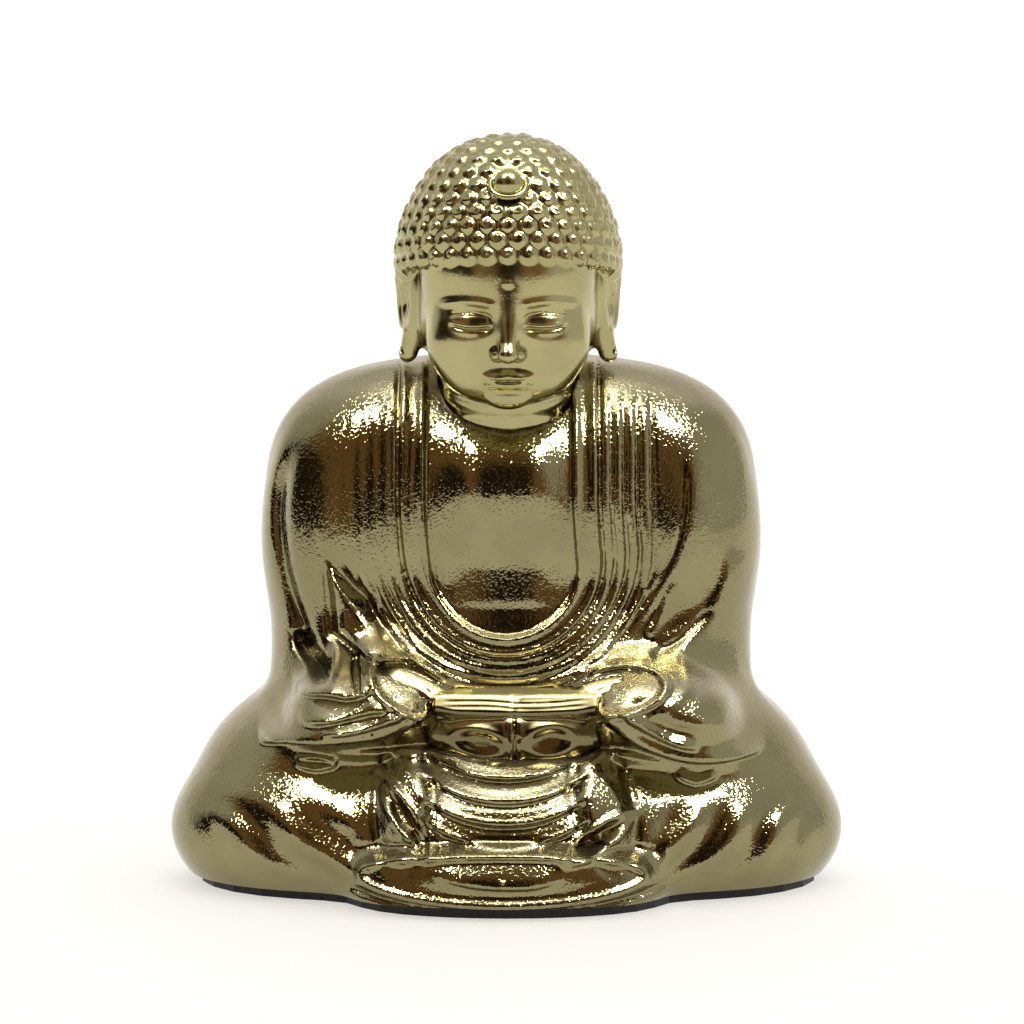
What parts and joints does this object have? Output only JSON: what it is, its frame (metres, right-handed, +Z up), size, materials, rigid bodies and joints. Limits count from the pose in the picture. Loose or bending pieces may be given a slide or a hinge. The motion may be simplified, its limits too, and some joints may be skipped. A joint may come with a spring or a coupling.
{
  "type": "seated meditation figure",
  "caption": "Small seated figure in a long robe, legs folded and hands resting in the lap, cast in hollow sections on a felt-covered base.",
  "frame": {"origin": "middle of the footprint, on the surface that the figure stands on", "axes": "+Z up, the figure faces -Y, +X is to the right as the viewer in front of it sees it"},
  "size_m": [0.072, 0.0487, 0.0802],
  "materials": {
    "gold_plate": "bright pale-gold plate over a fine-grained casting, darker in the recesses",
    "solder": "dull grey soft solder",
    "steel": "bright zinc-plated steel",
    "felt": "black pressed felt"
  },
  "bodies": {
    "root": {"lap_casting": "gold_plate", "torso_casting": "gold_plate", "head_casting": "gold_plate", "hands_casting": "gold_plate", "hair_jewel": "gold_plate", "neck_solder": "solder", "waist_solder": "solder", "peg_solder": "solder", "base_plate": "steel", "base_screws": "steel", "felt_pad": "felt"}
  },
  "joints": []
}
